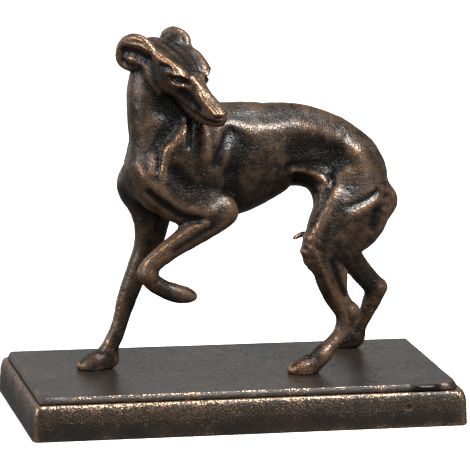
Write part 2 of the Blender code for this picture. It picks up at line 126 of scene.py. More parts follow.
def plinth_ring(inset):
    """Points of one level ring, the way outward at each, and how near a corner each one is."""
    radius = max(PLINTH_CORNER - inset * 0.3, LEAST_CORNER)
    # The front right corner of the top is worn rounder than the others
    spare = max(0.0, PLINTH_DEPTH / 2 - inset - radius - 0.3)
    radii = (radius, radius, radius, radius + min(1.3 * inset, WORN_CORNER, spare))
    spots, aways, corners = [], [], []
    lengths = (PLINTH_LENGTH, PLINTH_DEPTH)
    for corner, (sign_x, sign_y) in enumerate(((1, 1), (-1, 1), (-1, -1), (1, -1))):
        radius, next_radius = radii[corner], radii[(corner + 1) % 4]
        middle_x = sign_x * (PLINTH_LENGTH / 2 - inset - radius)
        middle_y = sign_y * (PLINTH_DEPTH / 2 - inset - radius)
        middle = np.array((middle_x, middle_y))
        for turn in range(0, 91, 15):
            angle = math.radians(corner * 90 + turn)
            away = np.array((math.cos(angle), math.sin(angle)))
            spots.append(middle + radius * away)
            aways.append(away)
            corners.append(math.exp(-((turn - 45) / 50) ** 2))
        side = lengths[corner % 2]
        count = int(side / RING_SPACING)
        onward = np.array((-away[1], away[0]))
        straight = side - 2 * inset - radius - next_radius
        for step in range(1, count):
            run = straight * step / count
            spots.append(middle + radius * away + onward * run)
            aways.append(away)
            corners.append(0.45 * math.exp(-min(run, straight - run) / 0.8))
    return np.array(spots), np.array(aways), np.array(corners)


def plinth_casting():
    """The plinth as level rings up the moulding and over the top, uneven as sand-cast iron is."""
    places, aways, rubs_and_highlight, sands, corners, faces = [], [], [], [], [], []
    rows = plinth_moulding()
    for inset, height, rub, sand in rows:
        spots, away, corner = plinth_ring(inset)
        places.append(np.column_stack((spots, np.full(len(spots), height))))
        aways.append(np.column_stack((away, np.zeros(len(spots)))))
        rubs_and_highlight.append(np.full(len(spots), rub))
        sands.append(np.full(len(spots), sand))
        corners.append(corner)
    around = len(places[0])
    for row in range(len(rows) - 1):
        for spot in range(around):
            after = (spot + 1) % around
            low, high = row * around, (row + 1) * around
            faces.append((low + spot, low + after, high + after, high + spot))
    faces.append(tuple(range(around - 1, -1, -1)))
    faces.append(tuple(range((len(rows) - 1) * around, len(rows) * around)))
    places, aways, corners, rubs_and_highlight, sands = [
        np.concatenate(part) for part in (places, aways, corners, rubs_and_highlight, sands)]

    # Uneven skin: waves and bumps on the sides, finer ripples along the top, and a level foot
    x, y, z = places.T
    on_top = z > PLINTH_HEIGHT - 0.01
    push = np.where(on_top[:, None], (0.0, 0.0, 1.0), aways)
    firm = np.clip(z / FOOT_ROUND, 0.0, 1.0)
    wave = 0.14 * lumps(places, 14.0, 1) + 0.07 * lumps(places, 4.5, 2) + 0.05 * lumps(places, 1.6, 3) * sands
    ripple = 0.04 * lumps(places * (0.3, 1.0, 1.0), 1.8, 4) + 0.03 * lumps(places, 6.0, 5)
    wave = np.where(on_top, 0.4 * wave + ripple - 0.10, wave - 0.06)

    # Faults on the front: the lump of iron, a nick, a painted highlight beside it, and a pit with a rim
    front = y < 5.0 - PLINTH_DEPTH / 2
    flaw = np.exp(-((x - FLAW[0]) / 5.4) ** 4 - ((z - FLAW[2]) / 1.7) ** 4) * front
    nick = np.exp(-((x - FLAW[0] - 12.5) / 1.4) ** 2 - ((z - 16.6) / 1.0) ** 2) * front
    painted_glint = np.exp(-((x - FLAW[0] - 8.4) / 2.4) ** 4 - ((z - 16.9) / 0.9) ** 2) * front
    pit = np.exp(-((x - PIT[0]) / 1.3) ** 2 - ((z - PIT[2]) / 1.0) ** 2) * front
    rim = np.exp(-((np.hypot(x - PIT[0], 1.2 * (z - PIT[2])) - 2.0) / 0.5) ** 2) * front
    places = places + push * (np.minimum(wave, 0.0) * firm)[:, None]
    filled = np.clip(y + PLINTH_DEPTH / 2 - 1.6, 0.0, 3.0) * flaw
    places[:, 1] += 0.9 * nick + 0.9 * pit - filled
    places[:, 2] += 0.35 * flaw * (0.6 + 0.6 * lumps(places, 2.2, 6)) * on_top

    # Wear: most at the corners and along the foot's right half, and uneven everywhere
    at_edge = (z < OVOLO_HIGH + 0.1) * corners
    rubs_and_highlight = np.maximum(rubs_and_highlight, 0.95 * at_edge + 0.1 * lumps(places, 3.0, 7) * (at_edge > 0.2))
    fading = lumps(places * (1.0, 1.0, 0.6), 9.0, 8)
    rubs_and_highlight = rubs_and_highlight + 0.18 * fading + 0.10 * lumps(places, 3.0, 9)
    on_foot = np.clip((x + 10.0) / 60.0, 0.0, 1.0) * np.exp(-z / 2.2) * front
    # The bronze beside the nick is a painted highlight standing in for a glint of light
    rubs_and_highlight = rubs_and_highlight * (1.0 - flaw) + 0.7 * painted_glint + 0.5 * rim + 0.45 * on_foot - 0.6 * flaw
    sands = sands * (1.0 - flaw) * np.clip(1.0 + 0.5 * fading, 0.0, 1.3)
    # Dark paint and painted shade in the pit, the nick, the lump and the groove
    dark_paint_and_shade = np.clip(0.9 * pit + 0.22 * flaw + 0.8 * nick + (rubs_and_highlight < -0.2) * 0.4, 0.0, 1.0)
    mesh = bpy.data.meshes.new("plinth_casting")
    mesh.from_pydata((places * MILLIMETRE).tolist(), [], faces)
    for name, values in (("rubbed", rubs_and_highlight), ("dark_paint_and_shade", dark_paint_and_shade), ("sandy", sands)):
        mesh.attributes.new(name, "FLOAT", "POINT").data.foreach_set("value", values.astype(np.float32))
    mesh.shade_smooth()
    return mesh


def painted_iron(
        name, paint, bronze, rub_start, rub_end, speckle, pitting, browning, roughness, grain_depth):
    """Dark paint on sand-cast iron, rubbed through to bronze where the surface stands proud."""
    finish = bpy.data.materials.new(name)
    finish.use_nodes = True
    nodes, links = finish.node_tree.nodes, finish.node_tree.links
    shader = nodes["Principled BSDF"]
    place = nodes.new("ShaderNodeTexCoord").outputs["Object"]

    def grain(scale, detail, rough=0.55):
        node = nodes.new("ShaderNodeTexNoise")
        links.new(place, node.inputs["Vector"])
        node.inputs["Scale"].default_value = scale
        node.inputs["Detail"].default_value = detail
        node.inputs["Roughness"].default_value = rough
        return node.outputs["Fac"]

    def reckoned(method, one, two):
        node = nodes.new("ShaderNodeMath")
        node.operation = method
        for socket, value in zip(node.inputs, (one, two)):
            if isinstance(value, (int, float)):
                socket.default_value = value
            else:
                links.new(value, socket)
        return node.outputs[0]

    def plus(one, two):
        return reckoned("ADD", one, two)

    def less(one, two):
        return reckoned("SUBTRACT", one, two)

    def times(one, two):
        return reckoned("MULTIPLY", one, two)

    def spread(value, low, high, to_low=0.0, to_high=1.0):
        node = nodes.new("ShaderNodeMapRange")
        node.interpolation_type = "SMOOTHSTEP"
        links.new(value, node.inputs["Value"])
        node.inputs["From Min"].default_value = low
        node.inputs["From Max"].default_value = high
        node.inputs["To Min"].default_value = to_low
        node.inputs["To Max"].default_value = to_high
        return node.outputs["Result"]

    def blend_of(amount, one, two):
        node = nodes.new("ShaderNodeMix")
        node.data_type = "RGBA"
        links.new(amount, node.inputs["Factor"])
        for socket, colour in zip((node.inputs[6], node.inputs[7]), (one, two)):
            if isinstance(colour, tuple):
                socket.default_value = (*colour, 1.0)
            else:
                links.new(colour, socket)
        return node.outputs[2]

    def painted(attribute):
        node = nodes.new("ShaderNodeAttribute")
        node.attribute_name = attribute
        return node.outputs["Fac"]

    rubbed, dark_paint_and_shade, sandiness = painted("rubbed"), painted("dark_paint_and_shade"), painted("sandy")
    # Grains of sand of about 1 mm, patches of about 4 mm and drifts of about 15 mm
    sand, patch, drift = grain(1250.0, 2.0, 0.6), grain(260.0, 5.0, 0.6), grain(70.0, 3.0)
    grit = nodes.new("ShaderNodeTexVoronoi")
    links.new(place, grit.inputs["Vector"])
    grit.inputs["Scale"].default_value = 900.0
    pits = spread(plus(grit.outputs["Distance"], times(sand, 0.8)), 0.68, 0.82, 1.0, 0.0)
    pits = times(pits, sandiness)
    # Bare bronze: how far the rubbing reached, less in the pits and more on the grains
    uneven = times(less(patch, 0.5), 1.1)
    sandy = times(times(less(sand, 0.5), speckle), sandiness)
    reach = less(plus(plus(rubbed, uneven), sandy), times(pits, pitting))
    bare = spread(reach, rub_start, rub_end)
    # Paint: browner where it is thin, and nearly black in the hollows, as dark paint and painted shade
    brown = spread(plus(plus(patch, drift), rubbed), 0.75, 1.45, 0.0, browning)
    paint_and_shade_dark = spread(dark_paint_and_shade, 0.0, 0.5)
    dull = tuple(0.22 * value for value in bronze)
    ground = blend_of(times(brown, less(1.0, paint_and_shade_dark)), paint, dull)
    ground = blend_of(paint_and_shade_dark, ground, tuple(0.25 * value for value in paint))
    links.new(blend_of(bare, ground, bronze), shader.inputs["Base Color"])
    links.new(spread(bare, 0.0, 1.0, 0.20, 1.0), shader.inputs["Metallic"])
    links.new(spread(sand, 0.3, 0.7, roughness + 0.1, roughness - 0.1), shader.inputs["Roughness"])
    shader.inputs["Specular IOR Level"].default_value = 0.5
    bump = nodes.new("ShaderNodeBump")
    bump.inputs["Strength"].default_value = 1.0
    bump.inputs["Distance"].default_value = grain_depth
    pebbled = less(times(sand, sandiness), times(pits, 0.3))
    links.new(plus(pebbled, times(patch, 0.35)), bump.inputs["Height"])
    links.new(bump.outputs["Normal"], shader.inputs["Normal"])
    return finish


plinth = bpy.data.objects.new("plinth_casting", plinth_casting())
bpy.context.scene.collection.objects.link(plinth)
plinth.data.materials.append(painted_iron(
    "rubbed brown plinth paint with painted shade and highlight", paint=(0.017, 0.0138, 0.0115), bronze=(0.38, 0.24, 0.15),
    rub_start=0.44, rub_end=0.80, speckle=5.0, pitting=0.4, browning=0.22, roughness=0.36,
    grain_depth=0.00022))
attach(plinth, "root")
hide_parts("plinth")

# Greyhound's trunk and neck: the middle of the one iron casting that makes up the whole dog. Its
# pattern was modelled in clay, so bars and masses of clay are joined here with soft fillets, in
# millimetres above the plinth.

CLAY_STEP = 0.5
CLAY_LOW = (-69.0, -33.0, -2.0)
CLAY_HIGH = (76.0, 38.0, 148.0)


class Clay:
    """A block of distances to the modelled surface, below zero inside the metal."""

    def __init__(self, low, high, step):
        self.step = step
        self.axes = [np.arange(a, b, step, dtype=np.float32) for a, b in zip(low, high)]
        self.field = np.full([len(a) for a in self.axes], 60.0, dtype=np.float32)
        self.tool_marks = []

    def window(self, low, high):
        """Slices and open coordinate grids of the block between two corners."""
        cuts = []
        for axis, a, b in zip(self.axes, low, high):
            first, last = np.searchsorted(axis, (a, b))
            cuts.append(slice(int(first), int(last)))
        x, y, z = [axis[cut] for axis, cut in zip(self.axes, cuts)]
        return tuple(cuts), (x[:, None, None], y[None, :, None], z[None, None, :])

    def melt(self, cuts, shape, blend):
        """Join a shape to the clay, with a fillet of about the blend's size."""
        old = self.field[cuts]
        near = np.maximum(blend - np.abs(old - shape), 0.0) / blend
        self.field[cuts] = np.minimum(old, shape) - near * near * blend * 0.25


def through(stations, steps):
    """A smooth run of values through the stations, each station a row of numbers."""
    rows = np.array(stations, dtype=float)
    ends = np.vstack((2 * rows[0] - rows[1], rows, 2 * rows[-1] - rows[-2]))
    run = []
    for a, b, c, d in zip(ends, ends[1:], ends[2:], ends[3:]):
        for t in np.arange(steps) / steps:
            bend = (2 * a - 5 * b + 4 * c - d) * t * t + (3 * b - a - 3 * c + d) * t ** 3
            run.append(0.5 * (2 * b + (c - a) * t + bend))
    run.append(rows[-1])
    return np.array(run)


def limb(clay, stations, blend, side=(0.0, 1.0, 0.0), steps=4):
    """A bar of oval section: each station is x, y, z, half its width across and half to the side."""
    run = through(stations, steps)
    reach = run[:, 3:].max() + blend + 2 * clay.step
    cuts, _ = clay.window(run[:, :3].min(0) - reach, run[:, :3].max(0) + reach)
    bar = np.full(clay.field[cuts].shape, 60.0, dtype=np.float32)
    for start, end in zip(run, run[1:]):
        reach = max(start[3:].max(), end[3:].max()) + blend + 2 * clay.step
        low = np.minimum(start[:3], end[:3]) - reach
        high = np.maximum(start[:3], end[:3]) + reach
        span, grids = clay.window(low, high)
        along = end[:3] - start[:3]
        length = float(np.linalg.norm(along)) + 1e-6
        along = along / length
        aside = np.array(side) - np.dot(side, along) * along
        aside = aside / np.linalg.norm(aside)
        across = np.cross(along, aside)
        offset = [grid - np.float32(centre) for grid, centre in zip(grids, start[:3])]
        run_on = sum(o * a for o, a in zip(offset, along.astype(np.float32)))
        place = np.clip(run_on / np.float32(length), 0.0, 1.0)
        past = run_on - place * np.float32(length)
        off_across = sum(o * a for o, a in zip(offset, across.astype(np.float32)))
        off_side = sum(o * a for o, a in zip(offset, aside.astype(np.float32)))
        half_across = np.float32(start[3]) + np.float32(end[3] - start[3]) * place
        half_side = np.float32(start[4]) + np.float32(end[4] - start[4]) * place
        half_end = np.minimum(half_across, half_side)
        u, v, w = off_across / half_across, off_side / half_side, past / half_end
        first = np.sqrt(u * u + v * v + w * w)
        second = np.sqrt((u / half_across) ** 2 + (v / half_side) ** 2 + (w / half_end) ** 2)
        shape = first * (first - 1.0) / (second + np.float32(1e-4))
        inner = tuple(slice(s.start - c.start, s.stop - c.start) for s, c in zip(span, cuts))
        bar[inner] = np.minimum(bar[inner], shape)
    clay.melt(cuts, bar, blend)


def mass(clay, centre, halves, blend, lean=0.0):
    """An egg-shaped muscle: its half sizes along X, Y and Z, leant back about Y in degrees."""
    reach = max(halves) + blend + 2 * clay.step
    cuts, grids = clay.window(np.array(centre) - reach, np.array(centre) + reach)
    x, y, z = [grid - middle for grid, middle in zip(grids, centre)]
    c, s = math.cos(math.radians(lean)), math.sin(math.radians(lean))
    x, z = x * c - z * s, z * c + x * s
    a, b, h = halves
    first = np.sqrt((x / a) ** 2 + (y / b) ** 2 + (z / h) ** 2)
    second = np.sqrt((x / a ** 2) ** 2 + (y / b ** 2) ** 2 + (z / h ** 2) ** 2) + 1e-4
    clay.melt(cuts, first * (first - 1.0) / second, blend)


def model_body(clay):
    """Trunk, neck, shoulders and rump."""
    limb(clay, [
        (-38, 2, 78.5, 10, 8), (-32, 2, 84, 17.2, 12), (-21, 2, 87.5, 22.5, 13.5),
        (-6, 2, 87.3, 23.9, 14), (8, 2.5, 90.2, 21.2, 13.5), (18, 3, 92.8, 17.7, 12),
        (27, 3, 92.3, 17.0, 10.5), (36, 3.5, 90.7, 15.5, 10), (45.5, 4, 86, 14.2, 10.5),
        (52.5, 4, 80, 12.3, 9.5), (56, 4, 74, 9.3, 7)], 3.0, steps=12)
    limb(clay, [
        (-26.4, 1.5, 90, 17, 11), (-31.0, 2, 102, 15.0, 10.5), (-34.6, 4, 113, 12.0, 9),
        (-34.3, 6.3, 121, 10.6, 8.2), (-32.6, 7.4, 128, 8.8, 7.6)], 4.0, steps=10)
    mass(clay, (-39.3, 9.5, 76.5), (9.2, 6, 10.5), 4.0, lean=8)
    mass(clay, (-36, -5, 79), (8, 7, 11), 4.0, lean=-10)


# Forelegs: the right one stands with its paw on the plinth and the left one is raised and bent, as
# when a dog stops in mid stride. Both are part of the same casting.

def model_forelegs(clay):
    """The standing right foreleg, then the shoulder, upper arm, forearm and paw of the left one."""
    limb(clay, [
        (-33.5, 8, 77, 11.2, 6.5), (-34.0, 8, 68, 9.8, 6.0), (-33.9, 8, 60, 7.4, 5.5),
        (-35.4, 7.5, 50, 5.9, 4.8), (-38.9, 7, 41.5, 4.9, 4.3), (-42.0, 6.5, 34.2, 4.3, 4.0),
        (-44.1, 6.3, 28, 4.0, 3.8), (-45.9, 6, 21.5, 3.4, 3.3), (-48.0, 5.6, 14.5, 3.3, 3.3),
        (-51.2, 5.2, 8.0, 3.4, 3.6)], 4.0)
    limb(clay, [
        (-50.5, 5.2, 4.2, 4.2, 3.8), (-55.5, 5, 3.0, 4.5, 4.8), (-60, 4.8, 1.7, 3.5, 4.6),
        (-62.2, 4.6, 1.2, 2.2, 3.4)], 2.5)
    mass(clay, (-20, -8.5, 86), (15, 5.5, 18), 4.0, lean=-12)
    limb(clay, [(-34, -7.5, 77, 8.5, 5), (-24, -9.2, 72, 9.4, 5.5), (-9, -11, 69.2, 6.6, 5)], 3.0)
    limb(clay, [
        (-7.3, -11, 68.2, 5.4, 4.8), (-13, -12, 64.8, 5.8, 5), (-22.7, -12, 58.7, 5.2, 4.6),
        (-31, -12, 53.0, 4.3, 4.1), (-38, -12, 46.9, 3.9, 3.9), (-39.7, -12, 43.6, 3.8, 4.0)], 3.0)
    limb(clay, [
        (-39.5, -12, 43.5, 3.8, 4.0), (-37.2, -11.5, 39.9, 3.8, 3.8), (-32.8, -11, 36.9, 3.7, 3.7),
        (-27.3, -10.5, 34.7, 4.0, 4.2), (-22.9, -10, 33.7, 3.6, 3.9), (-20.4, -10, 33.2, 2.5, 3.0)], 2.0)


# Hind legs and tail: both legs are well bent and stand with their paws on the plinth. The tail is
# tucked between the thighs and its tip shows in front of them. They are part of the same casting.

def model_hind_legs(clay):
    """Thigh, shank, tendon, hock and paw of the left leg and then of the right one."""
    limb(clay, [
        (48, -1, 88, 10, 7), (49.5, -5, 74, 14.2, 7.5), (46.9, -7.5, 65.6, 15.8, 7.5),
        (40.3, -9, 57.9, 13.3, 7), (34.2, -10, 50.8, 9.3, 6), (37.0, -10, 43.5, 6.6, 5.2),
        (38.1, -10, 38.8, 6.1, 4.6), (40.1, -9.7, 32.8, 5.1, 4), (43.2, -9.3, 27.2, 4.4, 3.6),
        (46.2, -9, 23.5, 4.0, 3.4)], 4.0)
    limb(clay, [
        (43.0, -9.5, 40.5, 2.7, 2.5), (43.6, -9.3, 33, 2.0, 2), (45.4, -9.2, 28.5, 2.0, 2),
        (49.2, -9, 24.8, 1.9, 2.2)], 2.5)
    limb(clay, [
        (47.5, -9, 24, 3.6, 3.4), (45.5, -9.3, 20, 3.6, 3.4), (43.6, -10, 15.5, 3.2, 3.2),
        (39.8, -11, 11.5, 3.0, 3.4), (35, -12, 7.6, 3.5, 4.0)], 2.5)
    limb(clay, [
        (36, -12, 7, 3.2, 3.8), (30, -12.4, 3.0, 4.5, 4.8), (25, -12.4, 1.6, 3.4, 4.6),
        (22.8, -12.2, 1.2, 2.1, 3.3)], 2.5)
    limb(clay, [(35, 1, 82, 7, 7), (36.6, -3, 70, 4.8, 6), (35.8, -6, 60, 6, 5)], 4.0)
    limb(clay, [
        (50, 8, 88, 10, 6), (52, 10.5, 72, 13, 7), (47, 12.5, 59, 11, 6.5), (46.5, 14.5, 50, 7, 5.5),
        (53.2, 16.5, 42.5, 5.8, 4.5), (57.8, 17.5, 36.6, 4.7, 4.2), (62.0, 18, 31.6, 4.3, 3.9),
        (66.0, 18.5, 27.2, 3.9, 3.5)], 4.0)
    limb(clay, [(57, 17.5, 39.5, 2.2, 2.2), (64, 18, 33, 2.0, 2.2), (69.0, 18.5, 27.6, 2.3, 2.3)], 3.0)
    limb(clay, [
        (67.8, 18.8, 27, 3.6, 3.4), (65.7, 19.5, 22, 4.1, 3.4), (64.2, 21, 16.5, 3.3, 3.1),
        (62.0, 23, 10.5, 3.2, 3.1), (60.5, 24.5, 6.0, 3.4, 3.6)], 2.5)
    limb(clay, [
        (60.5, 24.5, 4.2, 4.2, 3.8), (57, 26, 3.2, 4.5, 4.7), (54, 27, 2.0, 4.0, 4.5),
        (52.8, 27.2, 1.4, 2.6, 3.2)], 2.5)


def model_tail(clay):
    """The tail hangs from the rump, passes between the thighs and shows its tip in front of them."""
    limb(clay, [
        (56, 4, 82, 4.5, 4.5), (62.3, 4, 75.6, 3.0, 3.4), (67.0, 4, 69.3, 3.0, 3.0),
        (65.5, 4, 63.5, 2.7, 2.7), (59.5, 3.5, 57.5, 2.4, 2.4), (50, 3, 53.5, 2.0, 2.0),
        (37, 1, 53.5, 1.6, 1.6), (29, -2, 56.1, 1.2, 1.2), (24.2, -3.6, 55.0, 0.9, 0.9)], 2.0)


# Head: turned back over the left shoulder, with folded ears whose rims are rolled, deep eyes and a
# long muzzle. It is part of the same casting, with its features cut in the pattern with a tool.

def stroke(clay, points, height, width, steps=4):
    """A soft ridge along a run of points, or a furrow where the height is below zero."""
    run = through(points, steps)
    clay.tool_marks.append((run, height, width))
    reach = 2.4 * width
    cuts, grids = clay.window(run.min(0) - reach, run.max(0) + reach)
    nearest = np.full(clay.field[cuts].shape, 1e6, dtype=np.float32)
    for start, end in zip(run, run[1:]):
        along = (end - start).astype(np.float32)
        offset = [grid - np.float32(s) for grid, s in zip(grids, start)]
        place = sum(o * a for o, a in zip(offset, along)) / (np.dot(along, along) + np.float32(1e-9))
        place = np.clip(place, 0.0, 1.0)
        gap = sum((o - a * place) ** 2 for o, a in zip(offset, along))
        nearest = np.minimum(nearest, gap)
    clay.field[cuts] -= np.float32(height) * np.exp(-nearest / np.float32(width ** 2))


class Head:
    """The head's own directions: forward along the muzzle, to the dog's left, and up."""

    def __init__(self, centre, facing, drop, tilt):
        a, b, c = math.radians(facing), math.radians(drop), math.radians(tilt)
        self.centre = np.array(centre)
        self.forward = np.array((math.cos(a) * math.cos(b), -math.sin(a) * math.cos(b), -math.sin(b)))
        level = np.array((math.sin(a), math.cos(a), 0.0))
        upright = np.cross(self.forward, level)
        self.left = level * math.cos(c) + upright * math.sin(c)
        self.up = upright * math.cos(c) - level * math.sin(c)

    def at(self, ahead, left, up):
        """The place of a point given in the head's directions."""
        return tuple(self.centre + ahead * self.forward + left * self.left + up * self.up)

    def bar(self, clay, stations, blend, side=(0.0, 1.0, 0.0)):
        """A bar given in the head's directions."""
        a, b, c = side
        aside = a * self.forward + b * self.left + c * self.up
        moved = [self.at(*row[:3]) + tuple(row[3:]) for row in stations]
        limb(clay, moved, blend, tuple(aside))

    def line(self, clay, points, height, width):
        """A soft ridge or furrow given in the head's directions."""
        stroke(clay, [self.at(*point) for point in points], height, width)


def model_ear(clay, head, flank, flap, rim):
    """One folded ear: its flap, the rolled rim and the hollow inside it. The flank is -1 or 1."""
    bars = [(a, flank * b, c, tall, thick) for a, b, c, tall, thick in flap]
    head.bar(clay, bars, 2.0, side=(0.5, flank, 0))
    head.bar(clay, [(a, flank * b, c, thick, thick) for a, b, c, thick in rim], 1.2)
    hollow = [(-12.0, 13.4, 1.6), (-9.2, 13.0, 2.5), (-6.0, 12.0, 2.6), (-2.6, 11.0, 2.4)]
    head.line(clay, [(a, flank * b, c) for a, b, c in hollow], -4.6, 1.6)
    crease = [
        (-14.4, 13.4, 3.4), (-12.4, 13.3, 5.2), (-9.2, 12.8, 6.3), (-5.4, 11.8, 6.9), (-3.1, 11.0, 6.4)]
    head.line(clay, [(a, flank * b, c) for a, b, c in crease], 0.6, 0.6)
    for a, b, c in ((-11.0, 10.6, 1.4), (-7.4, 9.6, 1.0), (-7.2, 9.8, -0.5)):
        mass(clay, head.at(a, flank * b, c), (0.5, 0.5, 0.5), 0.2)


def model_head(clay):
    """Skull, muzzle, brows and cheeks, then the ears, then what is cut for the eyes and the mouth."""
    head = Head((-30.0, 1.8, 127.6), 58.0, 18.0, 4.0)
    head.bar(clay, [
        (-10, 0, -0.8, 6.6, 7.6), (-2, 0, -1, 8.4, 9.2), (6, 0, -2.8, 9.4, 8.8),
        (12.5, 0, -5.1, 8.8, 6.8), (18, -0.3, -7.2, 8.1, 4.5), (22.5, -0.3, -8.0, 7.3, 3.9),
        (27, 0, -8.5, 6.2, 3.8), (31, 0, -8.5, 5.0, 3.5), (33.3, 0, -8.3, 3.9, 3.1)], 4.0)
    for flank, out in ((-1, 0.0), (1, 0.6)):
        head.bar(clay, [
            (-6, flank * 7.4, 4.8, 2.4, 2.2), (2, flank * 7.6, 4.0, 2.8, 2.6),
            (8, flank * (7.6 + out), 3.4, 2.9, 2.9), (12.8, flank * (6.6 + out), 2.2, 2.8, 2.8),
            (15.6, flank * (5.2 + 1.5 * out), 0.2, 2.0 + out, 2.1)], 3.5)
        head.bar(clay, [
            (0, flank * 5.5, -4, 5, 4.0), (8, flank * 5.5, -3, 4.5, 3.6),
            (14, flank * 4.3, -2.4, 3, 2.4)], 3.5)
    model_ear(clay, head, -1, [
        (-5, 8.0, 2.4, 6.0, 3.6), (-10, 10.0, 2.2, 7.2, 3.4), (-14, 11.2, 1.4, 5.2, 2.8)], [
        (-2.5, 8.8, 6.4, 1.6), (-6.5, 9.8, 8.2, 1.8), (-10.5, 10.8, 8.0, 1.9), (-13.7, 11.8, 5.8, 1.9),
        (-15.8, 12.2, 2.2, 1.9), (-15.6, 12.4, -1.8, 1.9), (-13.6, 12.2, -4.5, 1.8), (-10, 11, -4.8, 1.7),
        (-6.5, 10, -3.2, 1.4)])
    model_ear(clay, head, 1, [
        (-4, 8.0, 3.4, 6.0, 3.2), (-8.5, 9.0, 3.4, 6.8, 2.8), (-12, 10, 2, 5.0, 2.4)], [
        (-0.2, 8.8, 6.4, 1.6), (-2.6, 9.7, 8.2, 1.9), (-6.5, 9.6, 8.9, 1.9), (-10.5, 9.4, 7.4, 1.9),
        (-13.6, 9.8, 4.8, 1.9), (-14.6, 10.8, 1.4, 1.9), (-13.4, 11.2, -2.2, 1.8), (-10, 10.4, -3.6, 1.6)])
    for flank, cut in ((-1, 1.0), (1, 0.6)):
        brow = [(-4, 9.6, 6.6), (2, 9.4, 6.2), (8, 8.6, 5.6), (12, 7.4, 4.8), (15, 5.4, 3.2)]
        head.line(clay, [(a, flank * b, c) for a, b, c in brow], 0.7, 1.3)
        temple = [(6.0, 10.0, 3.6), (10.0, 9.8, 4.2)]
        head.line(clay, [(a, flank * b, c) for a, b, c in temple], -1.3 * cut, 1.3)
        socket = [(12.0, 9.2, 0.5), (14.0, 8.7, 0.8), (15.8, 7.4, 0.9), (17.4, 5.8, 0.4)]
        head.line(clay, [(a, flank * b, c) for a, b, c in socket], -2.6 * cut, 1.3)
        head.bar(clay, [(13.2, flank * 7.0, 0.5, 1.1, 1.3), (14.8, flank * 6.3, 0.6, 1.1, 1.3)], 0.3)
        upper_lid = [
            (10.9, 8.7, 0.2), (12.2, 9.1, 1.9), (14.1, 8.9, 3.0), (15.8, 7.4, 3.1), (17.4, 5.4, 2.1)]
        head.line(clay, [(a, flank * b, c) for a, b, c in upper_lid], 0.8 * cut, 0.7)
        lower_lid = [
            (11.0, 8.7, -0.2), (12.3, 8.7, -1.1), (13.6, 8.4, -1.5), (15.0, 7.8, -1.5), (16.6, 6.7, -1.0)]
        head.line(clay, [(a, flank * b, c) for a, b, c in lower_lid], 0.7 * cut ** 2, 0.6)
        under_eye = [(16.5, 6.4, -4.0), (18.3, 5.2, -5.2), (21.0, 4.4, -6.8), (24.0, 4.0, -8.0)]
        head.line(clay, [(a, flank * b, c) for a, b, c in under_eye], -1.2, 1.9)
        bridge = [(17, 2.4, 2.0), (21, 2.4, -0.1), (25, 3.0, -3.0), (29, 3.0, -4.7), (33.4, 2.6, -6.0)]
        head.line(clay, [(a, flank * b, c) for a, b, c in bridge], 0.6, 1.1)
        lip = [(17, 5.4, -9.6), (22.7, 4.0, -10.6), (28, 3.5, -10.6), (32.5, 3.0, -9.9), (35, 2.0, -9.0)]
        head.line(clay, [(a, flank * b, c) for a, b, c in lip], -0.8, 0.7)
        nostril = [(35.6, 1.6, -6.9), (34.8, 2.6, -7.4), (33.6, 3.2, -7.6)]
        head.line(clay, [(a, flank * b, c) for a, b, c in nostril], -1.0, 0.55)
        wing = [(35.4, 0.8, -5.4), (34.6, 2.2, -6.0), (33.0, 3.0, -6.4)]
        head.line(clay, [(a, flank * b, c) for a, b, c in wing], 0.4, 0.6)
        cheek = [(-2, 10.2, -1.2), (0.5, 10.2, -4.0), (3.5, 9.6, -6.9), (6.6, 8.6, -9.2)]
        head.line(clay, [(a, flank * b, c) for a, b, c in cheek], 0.5, 1.4)
    head.line(clay, [(-4, 0, 7.4), (6, 0, 6.4), (13, 0, 4.0)], -0.6, 1.8)


# Carving of the dog: the edges of its muscles and bones, cut and raised on the pattern before casting.
# The side that faces the front of the plinth has the most of it.

